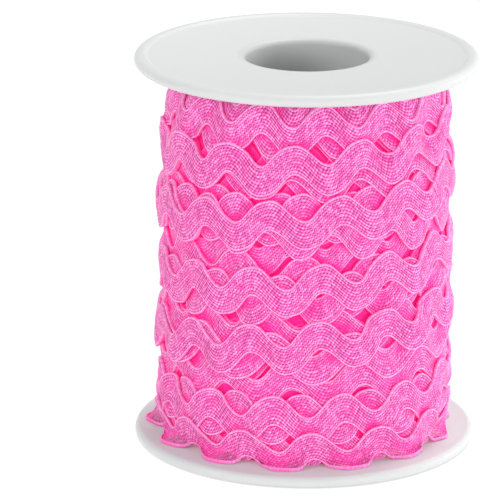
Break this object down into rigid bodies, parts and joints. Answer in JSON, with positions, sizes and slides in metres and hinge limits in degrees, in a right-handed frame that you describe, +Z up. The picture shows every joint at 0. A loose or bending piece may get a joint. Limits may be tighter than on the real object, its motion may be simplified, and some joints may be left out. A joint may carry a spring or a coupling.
{
  "type": "spool of ric-rac trim",
  "caption": "Upright moulded plastic spool with round flanges and a through-bore, wound with layers of wavy ric-rac braid that cross and overlap.",
  "frame": {"origin": "centre of the bottom flange's underside, where the spool stands", "axes": "+Z up along the spool's bore; -Y faces the camera of the picture and +X is to its right"},
  "size_m": [0.06, 0.06, 0.0696],
  "materials": {
    "spool_plastic": "satin moulded plastic, very slightly see-through",
    "braid": "woven polyester braid with a soft sheen and raised cord edges"
  },
  "bodies": {
    "root": {"spool": "spool_plastic", "trim_winding": "braid"}
  },
  "joints": []
}
